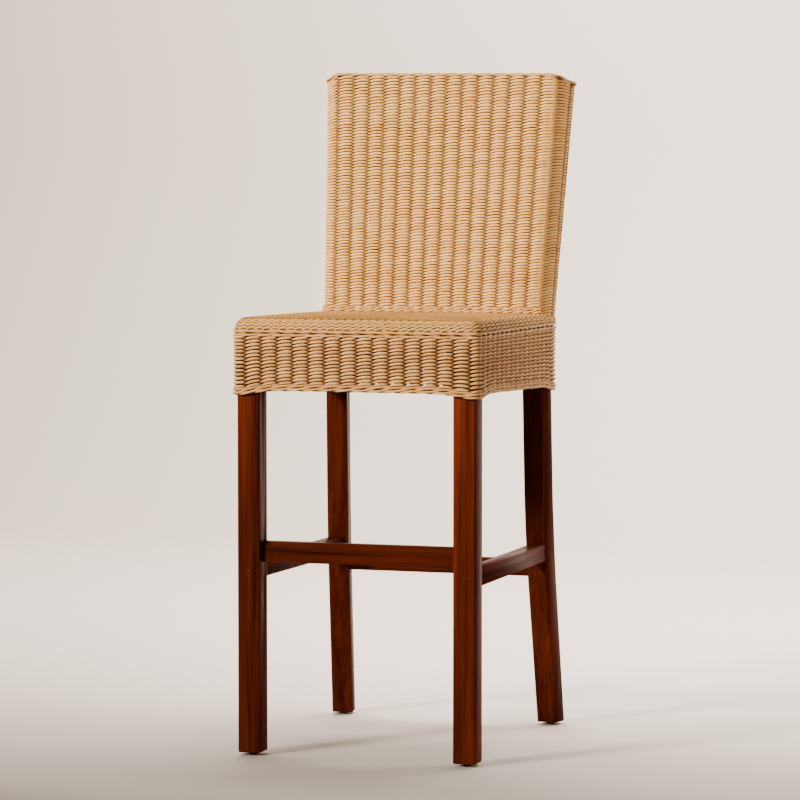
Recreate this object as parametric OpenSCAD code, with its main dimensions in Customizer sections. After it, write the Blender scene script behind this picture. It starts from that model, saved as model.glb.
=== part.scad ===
// Bar stool: a hardwood frame with four stretchers, the front one a footrest, and a woven
// cane seat and back. +X is the sitter's left, -Y is the front, +Z is up, and the origin is
// on the floor under the middle of the stool. All sizes are in millimetres.

/* [Overall] */
// Height of the whole stool
overall_h = 1176; // [1140:1:1220]
// Height of the seat's surface
seat_h = 751; // [740:1:760]
// Width over the front legs
frame_w = 428; // [410:1:450]
// Depth from the front legs' front face to the woven back's rear face at the seat
seat_d = 480; // [475:1:500]

/* [Legs] */
// Side of the square front legs
leg_w = 40; // [36:1:42]
// Width of the rear posts
post_w = 37; // [34:1:38]
// Depth of the rear posts
post_d = 41; // [38:1:42]
// Depth of the rear posts at the floor
post_foot_d = 34; // [30:1:38]
// Angle that the rear posts are turned out by, seen from above
post_turn = 10; // [8:0.5:11]
// How far the rear feet kick back from the bend at the seat
foot_kick = 66; // [50:1:75]
// How far the tops of the posts lean back
top_rake = 66; // [55:1:75]
// Height of the bend in the rear legs
knee_h = 350; // [320:5:380]

/* [Stretchers] */
// Height of the footrest's top face
footrest_h = 370; // [350:1:390]
// Height of the footrest bar's section
footrest_bar = 35; // [30:1:38]
// Height of the other stretchers' section
stretcher_bar = 30; // [26:1:32]
// Thickness of the stretchers
stretcher_t = 28; // [22:1:30]
// Chamfer along the footrest's upper front edge
footrest_chamfer = 8; // [4:1:10]

/* [Seat frame] */
// Height of the seat rails
rail_h = 70; // [50:1:80]
// Thickness of the seat rails
rail_t = 20; // [16:1:22]
// Length of a corner block's sides
block_l = 66; // [60:1:75]

/* [Weave] */
// Thickness of the woven skirt outside the legs
skirt_t = 7; // [6:0.5:8]
// Thickness of the woven seat
seat_t = 11; // [9:0.5:12]
// Thickness of the woven panels on the front, rear and top of the back
panel_t = 9; // [7:0.5:10]
// Height of the skirt's lower edge at the front
skirt_z = 628; // [610:1:640]
// How much lower the skirt hangs at the rear
skirt_drop = 12; // [0:1:15]
// Distance that the braided borders stand out
border_out = 2; // [1:0.5:3]
// Height of the braided borders
border_h = 13; // [8:1:14]

/* [Glides] */
// Diameter of the floor glides
glide_dia = 16; // [12:1:20]
// Height of the floor glides
glide_h = 5; // [3:0.5:6]

/* [Hidden] */
$fn = 48;

wood = "#7a3216";
dark_wood = "#5f2712";
cane = "#d8a76b";
light_cane = "#e3bb84";
metal = "#b9bcc0";
black = "#26231f";

big = 600;                       // longer than any cut needs
half_w = frame_w / 2;
leg_in = half_w - leg_w;         // inner face of the front legs
frame_top = seat_h - seat_t;     // top of the rails and the front legs
edge_r = seat_t;                 // rounding of the woven seat's edges
skirt_top = frame_top;
border_drop = 5;                 // the upper border lies this far below the skirt's top
skirt_half = half_w + skirt_t;   // half width over the skirt at the front
skirt_taper = 3;                 // the skirt is this much narrower on each side at the rear
leg_ease = 2;                    // chamfer on the front legs' edges
leg_top_ease = 7;                // larger chamfer where the seat's weave bends over them
rail_inset = 5;                  // the rails lie this far inside the legs' outer faces
tenon_t = 10;
tenon_l = 16;
tenon_step = 6;                  // shoulder above and below a tenon
batten_w = 30;
batten_t = 14;
batten_house = 8;                // depth that the battens are let into the side rails
block_h = 30;
block_screw_d = 4;
block_head_d = 8;
block_screw_at = 40;             // distance of a block's screws from its corner
plug_d = 7;
plug_l = 8;
head_l = 4;
shank_d = 4;
shank_l = 60;
nail_d = 2.5;
nail_l = 12;

post_x = half_w - 25.3;          // centre of a post at the bend by the seat
post_y = seat_d - 35.6;
bend_z = 740;
post_top = overall_h - 16;
side_z = footrest_h - footrest_bar - stretcher_bar;
rear_z = side_z - stretcher_bar;

back_z = frame_top;              // where the woven back starts
back_top = overall_h - panel_t;
back_half = half_w - 7.7;        // half width of the woven back's front face at its foot
back_half_top = half_w + 6.5;
back_front = seat_d - 71;        // its front face at its foot, and at its top
back_front_top = seat_d - 7.5;
back_rear_top = seat_d + 67;
side_t = 5;                      // the weave is thinner where it passes over the posts
splay = tan(post_turn);

front_y = -skirt_t - border_out;
mid_y = (front_y + back_rear_top + border_out) / 2;

// ---- helpers ----

function lerp(a, b, t) = a + (b - a) * t;

function bend(a, b, c, t) = lerp(lerp(a, b, t), lerp(b, c, t), t);

function arc(x, y, r, from, to, n = 6) =
    [for (i = [0:n]) [x + r * cos(lerp(from, to, i / n)), y + r * sin(lerp(from, to, i / n))]];

// Centre line of a rear post as [distance back from the bend at the seat, height].
foot = [foot_kick, glide_h];
knee = [foot_kick * 0.24, knee_h];
waist = [0, bend_z];
tip = [top_rake * (post_top - bend_z) / 422, post_top];
bend_steps = 7;
post_line = concat(
    [foot],
    [for (i = [0:bend_steps])
        bend(lerp(knee, foot, 0.35), knee, lerp(knee, waist, 0.3), i / bend_steps)],
    [for (i = [0:bend_steps])
        bend(lerp(waist, knee, 0.15), waist, lerp(waist, tip, 0.14), i / bend_steps)],
    [tip]
);

function post_depth(z) = z < knee_h ? lerp(post_foot_d, post_d, z / knee_h) : post_d;

// Centre of the right-hand post at a height, seen from above.
function post_back(z) = lookup(z, [for (p = post_line) [p[1], p[0]]]);
function post_at(z) = [
    post_x + post_back(z) * sin(post_turn),
    post_y + post_back(z) * cos(post_turn)
];

module place() {
    translate([0, -mid_y, 0]) children();
}

module sided(s) {
    mirror([s < 0 ? 1 : 0, 0, 0]) children();
}

// A box with its edges chamfered all round by c, and its top edges by ct.
module eased_box(size, c, ct) {
    x = size[0];
    y = size[1];
    z = size[2];
    intersection() {
        linear_extrude(z)
            polygon([[c, 0], [x - c, 0], [x, c], [x, y - c], [x - c, y], [c, y], [0, y - c], [0, c]]);
        rotate([90, 0, 0]) translate([0, 0, -y]) linear_extrude(y)
            polygon([[c, 0], [x - c, 0], [x, c], [x, z - ct], [x - ct, z], [ct, z], [0, z - ct], [0, c]]);
        rotate([90, 0, 90]) linear_extrude(x)
            polygon([[c, 0], [y - c, 0], [y, c], [y, z - ct], [y - ct, z], [ct, z], [0, z - ct], [0, c]]);
    }
}

module post_body(s) {
    front = [for (p = post_line) [p[0] - post_depth(p[1]) / 2, p[1]]];
    n = len(post_line) - 1;
    rear = [for (i = [n:-1:0]) [post_line[i][0] + post_depth(post_line[i][1]) / 2, post_line[i][1]]];
    sided(s) translate([post_x, post_y, 0]) rotate([0, 0, -post_turn]) rotate([90, 0, 90])
        linear_extrude(post_w, center = true) polygon(concat(front, rear));
}

module both_posts() {
    post_body(1);
    post_body(-1);
}

// A bar from side to side, centred on [y, z].
module cross_bar(half, y, z, t, h, lean = 0) {
    translate([0, y, z]) rotate([-lean, 0, 0]) cube([2 * half, t, h], center = true);
}

// A bar from a front leg to a post, tapering in plan with the frame.
module side_bar(s, from_x, to_x, from_y, to_y, t, z, h) {
    sided(s) translate([0, 0, z]) linear_extrude(h)
        polygon([
            [from_x - t, from_y], [from_x, from_y], [to_x, to_y], [to_x - t, to_y]
        ]);
}

// ---- bars that are tenoned into the legs ----

footrest_inset = 12;
footrest_t = leg_w - footrest_inset;
footrest_y = footrest_inset + footrest_t / 2;
footrest_z = footrest_h - footrest_bar / 2;
front_reach = leg_in + tenon_l;

module footrest_tenon() {
    cross_bar(front_reach, footrest_y, footrest_z, tenon_t, footrest_bar - 2 * tenon_step);
}

front_rail_y = rail_inset + rail_t / 2;
rail_mid_z = frame_top - rail_h / 2;

module front_rail_tenon() {
    cross_bar(front_reach, front_rail_y, rail_mid_z, tenon_t, rail_h - 2 * tenon_step);
}

rear_reach = post_x - 2;
rear_rail_y = post_at(rail_mid_z)[1] + 3;
rear_stretcher_mid = rear_z + stretcher_bar / 2;
rear_stretcher_y = post_at(rear_stretcher_mid)[1];

module rear_rail_tenon() {
    cross_bar(rear_reach, rear_rail_y, rail_mid_z, tenon_t, rail_h - 2 * tenon_step);
}

module rear_stretcher_tenon() {
    cross_bar(rear_reach, rear_stretcher_y, rear_stretcher_mid, tenon_t,
        stretcher_bar - 2 * tenon_step);
}

back_lean = atan(top_rake / 422 * cos(post_turn));
back_rail_t = 22;
back_rail_h = 40;
back_rail_z = [frame_top + 42, (frame_top + post_top) / 2, post_top - back_rail_h / 2 - 2];

module back_rail_tenon(i) {
    cross_bar(rear_reach, post_at(back_rail_z[i])[1], back_rail_z[i], tenon_t,
        back_rail_h - 2 * tenon_step, back_lean);
}

rail_out = half_w - rail_inset;
rail_out_rear = post_x + 12;

module side_rail_tenon(s) {
    side_bar(s, rail_out - tenon_step, rail_out_rear - tenon_step, leg_w - tenon_l + 2,
        post_y - post_d / 2 + tenon_l, tenon_t - 2, frame_top - rail_h + tenon_step,
        rail_h - 2 * tenon_step);
}

// ---- screws that hold the side stretchers, under wooden plugs ----

side_mid_z = side_z + stretcher_bar / 2;
side_x = half_w - leg_w / 2;
side_out_rear = post_at(side_mid_z)[0] + post_w / 2 * cos(post_turn)
    - post_d / 2 * sin(post_turn);
rear_screw_x = side_out_rear - stretcher_t / 2;
post_rear_y = post_at(side_mid_z)[1] + post_d / 2;
rear_head_in = 12;               // depth of the rear screws' heads below the post's rear face

module front_screw_shape(s) {
    sided(s) translate([side_x, plug_l, side_mid_z]) rotate([-90, 0, 0]) {
        cylinder(d = plug_d, h = head_l);
        cylinder(d = shank_d, h = shank_l);
    }
}

module rear_screw_shape(s) {
    sided(s) translate([rear_screw_x, post_rear_y - rear_head_in, side_mid_z]) rotate([90, 0, 0]) {
        cylinder(d = plug_d, h = head_l);
        cylinder(d = shank_d, h = shank_l);
    }
}

module front_plug_shape(s) {
    sided(s) translate([side_x, 0, side_mid_z]) rotate([-90, 0, 0])
        cylinder(d = plug_d, h = plug_l);
}

module rear_plug_hole(s) {
    sided(s) translate([rear_screw_x, post_rear_y - rear_head_in, side_mid_z]) rotate([-90, 0, 0])
        cylinder(d = plug_d, h = rear_head_in * 2);
}

// ---- glides: a low button on a nail, one under each leg ----

function glide_at(front) = front ? [half_w - leg_w / 2, leg_w / 2] : post_at(glide_h);

module glide_shape(s, front) {
    p = glide_at(front);
    sided(s) translate([p[0], p[1], 0]) {
        cylinder(d1 = glide_dia - 3, d2 = glide_dia, h = 1.5);
        translate([0, 0, 1.5]) cylinder(d = glide_dia, h = glide_h - 1.5);
        cylinder(d = nail_d, h = glide_h + nail_l);
    }
}

module glide(s, front) {
    color(black) place() glide_shape(s, front);
}

// ---- legs ----

module front_leg(s) {
    color(wood) place() difference() {
        sided(s) translate([leg_in, 0, glide_h])
            eased_box([leg_w, leg_w, frame_top - glide_h], leg_ease, leg_top_ease);
        footrest_tenon();
        front_rail_tenon();
        side_rail_tenon(s);
        front_screw_shape(s);
        front_plug_shape(s);
        glide_shape(s, true);
    }
}

module rear_post(s) {
    color(wood) place() difference() {
        post_body(s);
        rear_stretcher_tenon();
        rear_rail_tenon();
        side_rail_tenon(s);
        for (i = [0:2]) back_rail_tenon(i);
        rear_screw_shape(s);
        rear_plug_hole(s);
        glide_shape(s, false);
    }
}

// ---- stretchers ----

module footrest() {
    c = footrest_chamfer;
    color(wood) place() {
        footrest_tenon();
        translate([-leg_in, footrest_inset, footrest_h - footrest_bar]) rotate([90, 0, 90])
            linear_extrude(2 * leg_in)
            polygon([
                [1, 0], [footrest_t - 1, 0], [footrest_t, 1], [footrest_t, footrest_bar - 3],
                [footrest_t - 3, footrest_bar], [c, footrest_bar], [0, footrest_bar - c], [0, 1]
            ]);
    }
}

module rear_stretcher() {
    color(wood) place() {
        rear_stretcher_tenon();
        difference() {
            cross_bar(post_x, rear_stretcher_y, rear_stretcher_mid, stretcher_t - 4, stretcher_bar);
            both_posts();
        }
    }
}

module side_stretcher(s) {
    color(wood) place() difference() {
        side_bar(s, half_w - 0.5, side_out_rear - 0.5, leg_w, post_at(side_mid_z)[1], stretcher_t,
            side_z, stretcher_bar);
        post_body(s);
        front_screw_shape(s);
        rear_screw_shape(s);
    }
}

module stretcher_screws() {
    color(metal) place() for (s = [-1, 1]) {
        front_screw_shape(s);
        rear_screw_shape(s);
    }
}

module screw_plugs() {
    color(dark_wood) place() for (s = [-1, 1]) {
        front_plug_shape(s);
        intersection() {
            rear_plug_hole(s);
            post_body(s);
        }
    }
}

// ---- seat frame ----

module seat_rail_front() {
    color(dark_wood) place() difference() {
        union() {
            front_rail_tenon();
            cross_bar(leg_in, front_rail_y, rail_mid_z, rail_t, rail_h);
        }
        for (s = [-1, 1]) block_screws(s, true);
    }
}

module seat_rail_rear() {
    color(dark_wood) place() difference() {
        union() {
            rear_rail_tenon();
            difference() {
                cross_bar(post_x, rear_rail_y, rail_mid_z, rail_t, rail_h);
                both_posts();
            }
        }
        for (s = [-1, 1]) block_screws(s, false);
    }
}

module seat_rail_side(s) {
    color(dark_wood) place() difference() {
        union() {
            side_rail_tenon(s);
            difference() {
                side_bar(s, rail_out, rail_out_rear, leg_w, post_y, rail_t, frame_top - rail_h, rail_h);
                post_body(s);
            }
        }
        for (front = [true, false]) {
            block_screws(s, front);
            batten_shape(front);
        }
    }
}

batten_y = [150, 290];

module batten_shape(front) {
    half = lerp(rail_out, rail_out_rear, 0.5) - rail_t + batten_house - 4;
    cross_bar(half, batten_y[front ? 0 : 1], frame_top - batten_t / 2, batten_w, batten_t);
}

module seat_batten(front) {
    color(dark_wood) place() batten_shape(front);
}

// ---- corner blocks ----

// Angle that the side rails turn in by, and the inner corner that a block sits in.
rail_turn = atan((rail_out - rail_out_rear) / (post_y - leg_w));
function rail_in(y) = rail_out - rail_t - (y - leg_w) * tan(rail_turn);
front_corner_y = rail_inset + rail_t;
rear_corner_y = rear_rail_y - rail_t / 2;
block_z = rail_mid_z - block_h / 2;

// Puts a block's own corner in its place: its arms run inwards along the two rails.
module in_corner(s, front) {
    y = front ? front_corner_y : rear_corner_y;
    sided(s) translate([rail_in(y), y, 0]) mirror([1, 0, 0]) mirror([0, front ? 0 : 1, 0])
        children();
}

module block_screw() {
    rotate([90, 0, 0]) {
        translate([0, 0, -10]) cylinder(d = block_screw_d, h = 22);
        translate([0, 0, -13]) cylinder(d = block_head_d, h = 3);
    }
}

module block_screws(s, front) {
    in_corner(s, front) {
        translate([block_screw_at, 0, rail_mid_z + 6]) block_screw();
        translate([0, block_screw_at, rail_mid_z - 6]) rotate([0, 0, -90]) mirror([1, 0, 0]) block_screw();
    }
}

module block_pockets() {
    translate([block_screw_at, 10, rail_mid_z + 6]) rotate([-90, 0, 0])
        cylinder(d = block_head_d, h = block_l);
    translate([10, block_screw_at, rail_mid_z - 6]) rotate([0, 90, 0])
        cylinder(d = block_head_d, h = block_l);
}

module corner_block(s, front) {
    clear = 1;                   // the block's arms stand this far from its own corner
    color(dark_wood) place() difference() {
        in_corner(s, front) translate([0, 0, block_z]) linear_extrude(block_h)
            polygon([[clear, 0], [block_l, 0], [block_l, 8], [8, block_l], [clear, block_l]]);
        in_corner(s, front) block_pockets();
        block_screws(s, front);
        if (front) {
            sided(s) translate([leg_in, 0, 0]) cube([leg_w, leg_w, frame_top]);
        } else {
            post_body(s);
        }
        sided(s) translate([0, 0, block_z - 1]) linear_extrude(block_h + 2)
            polygon([
                [rail_in(0), 0], [rail_in(0) + 40, 0],
                [rail_in(seat_d) + 40, seat_d], [rail_in(seat_d), seat_d]
            ]);
    }
}

module corner_block_screws() {
    color(metal) place() for (s = [-1, 1], front = [true, false]) block_screws(s, front);
}

// ---- rails inside the back ----

module back_rail(i) {
    z = back_rail_z[i];
    color(dark_wood) place() {
        back_rail_tenon(i);
        difference() {
            cross_bar(post_x + 10, post_at(z)[1], z, back_rail_t, back_rail_h, back_lean);
            both_posts();
        }
    }
}

// ---- woven seat and skirt ----

// Outline of the skirt from above, grown outwards by e.
module skirt_outline(e = 0) {
    xf = skirt_half + e;
    xr = skirt_half - skirt_taper + e;
    r = skirt_t + e;
    yf = -skirt_t - e;
    yr = seat_d + e;
    polygon(concat(
        arc(-xf + r, yf + r, r, 180, 270),
        arc(xf - r, yf + r, r, 270, 360),
        arc(xr - r, yr - r, r, 0, 90),
        arc(-xr + r, yr - r, r, 90, 180)
    ));
}

skirt_rear_in = seat_d - skirt_t;
skirt_side_in = half_w + 0.2;
skirt_side_in_rear = half_w - skirt_taper;

// Everything between two heights measured from the skirt's sloping lower edge.
module above_hem(from, to) {
    hem = [skirt_z, skirt_z - skirt_drop];
    translate([-big / 2, 0, 0]) rotate([90, 0, 90]) linear_extrude(big)
        polygon([
            [-20, hem[0] + from], [seat_d + 20, hem[1] + from],
            [seat_d + 20, hem[1] + to], [-20, hem[0] + to]
        ]);
}

module skirt_panel() {
    color(cane) place() difference() {
        linear_extrude(skirt_top) children();
        above_hem(-overall_h, 0);
    }
}

module skirt_front() {
    skirt_panel() intersection() {
        skirt_outline();
        translate([-big / 2, -big]) square(big);
    }
}

module skirt_rear() {
    skirt_panel() intersection() {
        skirt_outline();
        translate([-big / 2, skirt_rear_in]) square(big);
    }
}

module skirt_side(s) {
    skirt_panel() sided(s) polygon([
        [skirt_side_in, 0], [skirt_half, 0],
        [skirt_half - skirt_taper, skirt_rear_in], [skirt_side_in_rear, skirt_rear_in]
    ]);
}

module border_ring() {
    difference() {
        skirt_outline(border_out);
        skirt_outline();
    }
}

module skirt_border_top() {
    color(light_cane) place() translate([0, 0, skirt_top - border_drop - border_h])
        linear_extrude(border_h) border_ring();
}

module skirt_border_bottom() {
    color(light_cane) place() intersection() {
        linear_extrude(skirt_top) border_ring();
        above_hem(0, border_h);
    }
}

module seat_cover() {
    w = 2 * skirt_half;
    from_y = -skirt_t;
    to_y = back_front;
    depth = to_y - from_y;
    across = concat(arc(w - edge_r, 0, edge_r, 0, 90, 8), arc(edge_r, 0, edge_r, 90, 180, 8));
    along = concat([[depth, 0], [depth, edge_r]], arc(edge_r, 0, edge_r, 90, 180, 8));
    color(cane) place() intersection() {
        translate([-skirt_half, to_y, skirt_top]) rotate([90, 0, 0])
            linear_extrude(depth) polygon(across);
        translate([-skirt_half, from_y, skirt_top]) rotate([90, 0, 90])
            linear_extrude(w) polygon(along);
        linear_extrude(seat_h) skirt_outline();
    }
}

// ---- woven back ----

// The sleeve round the back at the share t of its height: half widths and depths, with a wall
// of the given thickness taken off each face.
function sleeve_front(t) = lerp(back_front, back_front_top, t);
function sleeve_rear(t) = lerp(seat_d, back_rear_top, t);
function sleeve_half(t, y) = lerp(back_half, back_half_top, t) + (y - sleeve_front(t)) * splay;
function sleeve_z(t) = lerp(back_z, overall_h, t);
top_share = (back_top - back_z) / (overall_h - back_z);

// Four-sided prism between two heights; each ring holds its corners from above.
module prism(ring_low, z_low, ring_high, z_high) {
    points = concat(
        [for (p = ring_low) [p[0], p[1], z_low]],
        [for (p = ring_high) [p[0], p[1], z_high]]
    );
    polyhedron(points, [
        [3, 2, 1, 0], [4, 5, 6, 7],
        [1, 5, 4, 0], [2, 6, 5, 1], [3, 7, 6, 2], [0, 4, 7, 3]
    ]);
}

// A ring of corners from [x, y] to [x, y], going round clockwise from above.
function face_ring(t, y0, y1) = [
    [-sleeve_half(t, y0), y0], [-sleeve_half(t, y1), y1],
    [sleeve_half(t, y1), y1], [sleeve_half(t, y0), y0]
];

function side_ring(t, y0, y1, wall) = [
    [sleeve_half(t, y0) - wall, y0], [sleeve_half(t, y1) - wall, y1],
    [sleeve_half(t, y1), y1], [sleeve_half(t, y0), y0]
];

module back_face(front) {
    y_low = front ? sleeve_front(0) : sleeve_rear(0) - panel_t;
    y_high = front ? sleeve_front(top_share) : sleeve_rear(top_share) - panel_t;
    color(cane) place()
        prism(face_ring(0, y_low, y_low + panel_t), back_z,
            face_ring(top_share, y_high, y_high + panel_t), back_top);
}

module back_side(s) {
    low = side_ring(0, sleeve_front(0) + panel_t, sleeve_rear(0) - panel_t, side_t);
    high = side_ring(top_share, sleeve_front(top_share) + panel_t,
        sleeve_rear(top_share) - panel_t, side_t);
    color(cane) place() sided(s) prism(low, back_z, high, back_top);
}

module back_cover() {
    color(cane) place()
        prism(face_ring(top_share, sleeve_front(top_share), sleeve_rear(top_share)), back_top,
            face_ring(1, sleeve_front(1), sleeve_rear(1)), overall_h);
}

base_border_d = 8;
top_border_h = 6;

module back_border_base() {
    z = seat_h + base_border_d / 2;
    y = sleeve_front((z - back_z) / (overall_h - back_z)) - base_border_d / 2;
    color(light_cane) place() translate([0, y, z]) rotate([0, 90, 0])
        cylinder(d = base_border_d, h = 2 * back_half, center = true);
}

// The sleeve's outline grown outwards by e.
function grown_ring(t, e) = [
    [-sleeve_half(t, sleeve_front(t)) - e, sleeve_front(t) - e],
    [-sleeve_half(t, sleeve_rear(t)) - e, sleeve_rear(t) + e],
    [sleeve_half(t, sleeve_rear(t)) + e, sleeve_rear(t) + e],
    [sleeve_half(t, sleeve_front(t)) + e, sleeve_front(t) - e]
];

module back_border_top() {
    low = 1 - top_border_h / (overall_h - back_z);
    color(light_cane) place() difference() {
        prism(grown_ring(low, border_out), sleeve_z(low), grown_ring(1, border_out), overall_h);
        prism(grown_ring(low - 0.01, 0), sleeve_z(low - 0.01), grown_ring(1.01, 0), sleeve_z(1.01));
    }
}

front_leg(-1);  // front_leg_left
front_leg(1);  // front_leg_right
rear_post(-1);  // rear_post_left
rear_post(1);  // rear_post_right
footrest();  // footrest_bar
rear_stretcher();
side_stretcher(-1);  // side_stretcher_left
side_stretcher(1);  // side_stretcher_right
seat_rail_front();
seat_rail_rear();
seat_rail_side(-1);  // seat_rail_left
seat_rail_side(1);  // seat_rail_right
seat_batten(true);  // seat_batten_front
seat_batten(false);  // seat_batten_rear
corner_block(-1, true);  // corner_block_front_left
corner_block(1, true);  // corner_block_front_right
corner_block(-1, false);  // corner_block_rear_left
corner_block(1, false);  // corner_block_rear_right
corner_block_screws();
back_rail(0);  // back_rail_bottom
back_rail(1);  // back_rail_middle
back_rail(2);  // back_rail_top
stretcher_screws();
screw_plugs();
glide(-1, true);  // glide_front_left
glide(1, true);  // glide_front_right
glide(-1, false);  // glide_rear_left
glide(1, false);  // glide_rear_right
seat_cover();  // seat_weave
skirt_front();  // skirt_weave_front
skirt_side(-1);  // skirt_weave_left
skirt_side(1);  // skirt_weave_right
skirt_rear();  // skirt_weave_rear
skirt_border_top();
skirt_border_bottom();
back_face(true);  // back_weave_front
back_face(false);  // back_weave_rear
back_side(-1);  // back_weave_left
back_side(1);  // back_weave_right
back_cover();  // back_weave_top
back_border_base();
back_border_top();
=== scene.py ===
import math

import bmesh
import bpy
import numpy as np
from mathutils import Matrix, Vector


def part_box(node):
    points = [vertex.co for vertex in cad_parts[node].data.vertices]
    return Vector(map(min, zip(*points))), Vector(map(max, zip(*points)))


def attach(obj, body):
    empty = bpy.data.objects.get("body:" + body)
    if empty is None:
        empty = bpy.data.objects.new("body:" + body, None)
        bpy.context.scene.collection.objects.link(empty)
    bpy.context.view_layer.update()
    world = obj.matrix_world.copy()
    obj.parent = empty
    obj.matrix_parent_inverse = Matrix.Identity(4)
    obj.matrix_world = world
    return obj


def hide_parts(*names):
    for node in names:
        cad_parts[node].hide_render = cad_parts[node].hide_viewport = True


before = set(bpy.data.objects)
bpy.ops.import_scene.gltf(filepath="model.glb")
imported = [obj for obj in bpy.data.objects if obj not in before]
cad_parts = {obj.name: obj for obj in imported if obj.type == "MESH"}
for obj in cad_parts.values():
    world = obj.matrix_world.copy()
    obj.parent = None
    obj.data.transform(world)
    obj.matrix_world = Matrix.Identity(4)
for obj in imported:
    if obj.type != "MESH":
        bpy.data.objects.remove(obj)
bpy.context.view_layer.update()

print("frame loaded")


def corners(node):
    # lowest and highest ring of a panel's corners, as [front left, rear left, rear right, front right]
    points = {tuple(round(c, 5) for c in vertex.co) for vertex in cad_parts[node].data.vertices}
    points = np.array(sorted(points))
    rings = []
    for z in (points[:, 2].min(), points[:, 2].max()):
        ring = points[np.abs(points[:, 2] - z) < 1e-4]
        left = sorted(ring[ring[:, 0] < 0].tolist(), key=lambda p: p[1])
        right = sorted(ring[ring[:, 0] > 0].tolist(), key=lambda p: p[1])
        rings.append(np.array([left[0], left[-1], right[-1], right[0]]))
    return rings


def addObject(name, mesh):
    thing = bpy.data.objects.new(name, mesh)
    bpy.context.scene.collection.objects.link(thing)
    return thing


def finishPiece(piece, replaced=()):
    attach(piece, "root")
    if replaced:
        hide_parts(*replaced)
    return piece


def mix(a, b, t):
    return a + (b - a) * t


def newTree(name, inputs):
    tree = bpy.data.node_groups.new(name, "GeometryNodeTree")
    tree.interface.new_socket("Geometry", in_out="INPUT", socket_type="NodeSocketGeometry")
    for label, kind, value in inputs:
        socket = tree.interface.new_socket(label, in_out="INPUT", socket_type="NodeSocket" + kind)
        if value is not None:
            socket.default_value = value
    tree.interface.new_socket("Geometry", in_out="OUTPUT", socket_type="NodeSocketGeometry")
    return tree


class Wiring:
    # puts nodes in a tree and joins them; a plain number or vector is set on the socket
    def __init__(self, tree):
        self.tree = tree
        self.given = tree.nodes.new("NodeGroupInput").outputs
        self.result = tree.nodes.new("NodeGroupOutput").inputs

    @classmethod
    def forMaterial(cls, material):
        wiring = cls.__new__(cls)
        wiring.tree = material.node_tree
        return wiring

    def put(self, socket, value):
        if isinstance(value, bpy.types.NodeSocket):
            self.tree.links.new(value, socket)
        else:
            socket.default_value = value

    def node(self, kind, links=None, **settings):
        node = self.tree.nodes.new(kind)
        for key, value in settings.items():
            setattr(node, key, value)
        for key, value in (links or {}).items():
            self.put(node.inputs[key], value)
        return node

    def math(self, operation, *values):
        node = self.node("ShaderNodeMath", operation=operation)
        for socket, value in zip(node.inputs, values):
            self.put(socket, value)
        return node.outputs[0]

    def vector(self, operation, *values):
        node = self.node("ShaderNodeVectorMath", operation=operation)
        for socket, value in zip(node.inputs, values):
            self.put(socket, value)
        return node.outputs["Value" if operation == "DOT_PRODUCT" else "Vector"]

    def scaled(self, vector, factor):
        node = self.node("ShaderNodeVectorMath", {"Scale": factor}, operation="SCALE")
        self.put(node.inputs[0], vector)
        return node.outputs[0]

    def read(self, name, kind="FLOAT"):
        return self.node("GeometryNodeInputNamedAttribute", {"Name": name}, data_type=kind).outputs[0]

    def store(self, geometry, name, value, domain="POINT"):
        return self.node("GeometryNodeStoreNamedAttribute",
                         {"Geometry": geometry, "Name": name, "Value": value},
                         data_type="FLOAT", domain=domain).outputs[0]


def applyTree(guide, tree, values, name):
    # runs a tree on a guide mesh and keeps the result as a plain mesh
    modifier = guide.modifiers.new("tree", "NODES")
    modifier.node_group = tree
    for item in tree.interface.items_tree:
        if item.in_out == "INPUT" and item.name in values:
            modifier[item.identifier] = values[item.name]
    state = bpy.context.evaluated_depsgraph_get()
    mesh = bpy.data.meshes.new_from_object(guide.evaluated_get(state), depsgraph=state)
    mesh.name = name
    piece = addObject(name, mesh)
    old = guide.data
    bpy.data.objects.remove(guide)
    bpy.data.meshes.remove(old)
    print(name, len(mesh.polygons), "faces")
    return piece


# The strand tree takes guide lines that carry "stake", the number of stakes passed, "outward", and
# "relief", the share of the swing. Each line gives strands that swing out over one stake and in
# behind the next.
strandInputs = [
    ("Strands", "Int", 2),            # twined in one line
    ("Period", "Float", 2.0),         # stakes passed in one full turn
    ("Swing", "Float", 0.003),        # distance in front of the stakes' middle
    ("Behind", "Float", 0.65),        # share of the swing behind the stakes
    ("Plateau", "Float", 0.6),        # below 1 the strand stays in front for longer
    ("Bias", "Float", 0.0),           # above 0 it shows more in front than behind
    ("Skew", "Float", 0.4),           # one end of each bead dives more steeply
    ("Lag", "Float", 0.0),            # turns the swing on, in radians
    ("Rise", "Float", 0.001),         # slant up and down along the line
    ("Nest", "Float", 0.0),           # the hidden stretches sit higher, between the rows
    ("Radius", "Float", 0.002),
    ("Radius Spread", "Float", 0.1),
    ("Squeeze", "Float", 0.0),        # thinner where it dives
    ("Wander", "Float", 0.0005),      # uneven drift of each strand
    ("Sides", "Int", 6),
    ("Seed", "Int", 1),
    ("Material", "Material", None),
]


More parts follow.
